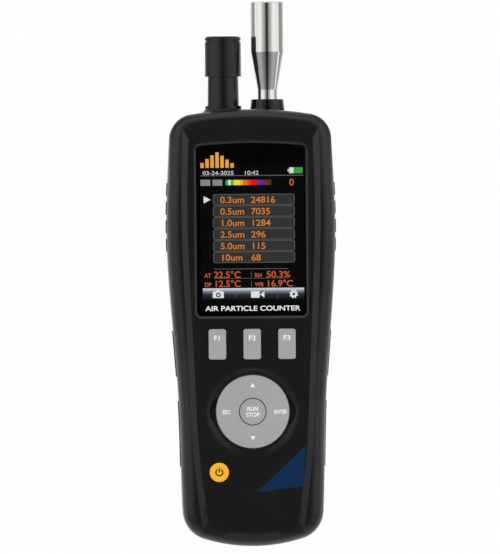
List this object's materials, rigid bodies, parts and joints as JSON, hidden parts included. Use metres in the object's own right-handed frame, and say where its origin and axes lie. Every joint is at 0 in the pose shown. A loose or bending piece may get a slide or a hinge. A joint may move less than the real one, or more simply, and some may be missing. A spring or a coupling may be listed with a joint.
{
  "type": "handheld airborne particle counter",
  "caption": "Handheld airborne particle counter with a metal sampling probe, a capped humidity sensor, a colour display, function keys and a round navigation ring.",
  "frame": {"origin": "centre of the instrument's box on the surface that it lies on, its back down", "axes": "+X to the right across the front, +Y along the case to the probes, +Z out of the front face"},
  "size_m": [0.075, 0.24, 0.057],
  "materials": {
    "abs_black": "satin",
    "abs_dark": "fine matte texture",
    "rubber_grip": "matte",
    "clear_window": "polished clear",
    "lcd_black": "dark glass",
    "row_grey": "shown field",
    "gauge_green": "shown field",
    "key_bar_grey": "shown field",
    "sign_grey": "shown field",
    "key_grey": "satin grey",
    "key_amber": "satin amber",
    "mark_white": "printed",
    "silicone": "soft matte",
    "decal_blue": "printed film",
    "probe_steel": "polished turned",
    "glossy_black": "gloss",
    "seal_rubber": "matte",
    "board_green": "solder mask",
    "black_part": "moulded",
    "anodised_black": "black anodised",
    "brass": "turned",
    "steel": "plated",
    "hose_silicone": "translucent",
    "motor_steel": "drawn can",
    "white_part": "moulded",
    "wrap_blue": "shrink film",
    "light_clear": "clear epoxy"
  },
  "bodies": {
    "case": {"front_cover": "abs_black", "rear_cover": "abs_dark", "left_grip_pads": "rubber_grip", "right_grip_pads": "rubber_grip", "window_lens": "clear_window", "lcd_module": "lcd_black", "display_spacer": "black_part", "screen_rows": "row_grey", "screen_gauge": "gauge_green", "screen_key_bar": "key_bar_grey", "screen_signs": "sign_grey", "keypad_mat": "silicone", "key_board": "board_green", "main_board": "board_green", "board_screws": "steel", "board_link": "black_part", "buzzer": "black_part", "usb_jack": "steel", "dc_jack": "black_part", "card_socket": "steel", "sensor_stem": "abs_black", "sensor_cage": "black_part", "sensor_board": "board_green", "probe_base": "glossy_black", "optical_block": "anodised_black", "optical_block_screws": "steel", "laser_module": "brass", "detector_board": "board_green", "pump_head": "white_part", "pump_cover": "white_part", "pump_motor": "motor_steel", "sampling_hose": "hose_silicone", "suction_hose": "hose_silicone", "exhaust_hose": "hose_silicone", "exhaust_filter": "white_part", "battery_pack": "wrap_blue", "battery_contacts": "brass", "tripod_bush": "brass", "case_screws": "steel", "camera_bezel": "glossy_black", "camera_window": "clear_window", "camera_module": "black_part", "flash_lights": "light_clear", "corner_decal": "decal_blue"},
    "f1_key": {"key_f1": "key_grey"},
    "f2_key": {"key_f2": "key_grey"},
    "f3_key": {"key_f3": "key_grey"},
    "power_button": {"power_key": "key_amber"},
    "run_button": {"run_stop_key": "key_grey"},
    "ring_rocker": {"ring_cushion": "silicone"},
    "ring": {"nav_ring": "key_grey", "ring_arrows": "mark_white"},
    "cap": {"sensor_cap": "abs_black"},
    "probe_seal": {"probe_o_ring": "seal_rubber"},
    "probe": {"sampling_probe": "probe_steel"},
    "door": {"battery_door": "abs_dark", "door_screw": "steel"},
    "flap": {"port_flap": "rubber_grip"},
    "card": {"memory_card": "black_part"},
    "rotor": {"pump_rotor": "steel"}
  },
  "joints": [
    {"name": "f1_press", "type": "slide", "parent": "case", "child": "f1_key", "axis": [0, 0, -1], "range_m": [0, 0.0008], "stiffness_N_per_m": 900},
    {"name": "f2_press", "type": "slide", "parent": "case", "child": "f2_key", "axis": [0, 0, -1], "range_m": [0, 0.0008], "stiffness_N_per_m": 900},
    {"name": "f3_press", "type": "slide", "parent": "case", "child": "f3_key", "axis": [0, 0, -1], "range_m": [0, 0.0008], "stiffness_N_per_m": 900},
    {"name": "power_press", "type": "slide", "parent": "case", "child": "power_button", "axis": [0, 0, -1], "range_m": [0, 0.0008], "stiffness_N_per_m": 900},
    {"name": "run_stop_press", "type": "slide", "parent": "case", "child": "run_button", "axis": [0, 0, -1], "range_m": [0, 0.0008], "stiffness_N_per_m": 900},
    {"name": "ring_left_right", "type": "hinge", "parent": "case", "child": "ring_rocker", "pos_m": [0, -0.0607, 0.05045], "axis": [0, 1, 0], "range_deg": [-1.5, 1.5], "stiffness_Nm_per_rad": 1.2},
    {"name": "ring_up_down", "type": "hinge", "parent": "ring_rocker", "child": "ring", "pos_m": [0, -0.0607, 0.05045], "axis": [1, 0, 0], "range_deg": [-1.5, 1.5], "stiffness_Nm_per_rad": 1.2},
    {"name": "cap_pull_off", "type": "slide", "parent": "case", "child": "cap", "axis": [0, 1, 0], "range_m": [0, 0.022]},
    {"name": "probe_turn", "type": "hinge", "parent": "probe_seal", "child": "probe", "pos_m": [0.0078, 0.0769, 0.03], "axis": [0, 1, 0], "range_deg": [0, 2520]},
    {"name": "probe_screw_out", "type": "slide", "parent": "case", "child": "probe_seal", "axis": [0, 1, 0], "range_m": [0, 0.007]},
    {"name": "door_lift_off", "type": "slide", "parent": "case", "child": "door", "axis": [0, 0, -1], "range_m": [0, 0.012]},
    {"name": "flap_open", "type": "hinge", "parent": "case", "child": "flap", "pos_m": [0.0367, 0.0515, 0.0332], "axis": [0, 1, 0], "range_deg": [0, 110]},
    {"name": "card_eject", "type": "slide", "parent": "case", "child": "card", "axis": [1, 0, 0], "range_m": [0, 0.0035]},
    {"name": "pump_spin", "type": "hinge", "parent": "case", "child": "rotor", "pos_m": [-0.021, 0.0243, 0.0152], "axis": [0, 1, 0], "continuous": true}
  ],
  "couplings": [
    {"joint": "probe_screw_out", "follows": "probe_turn", "m_per_rad": 0.00015915}
  ]
}
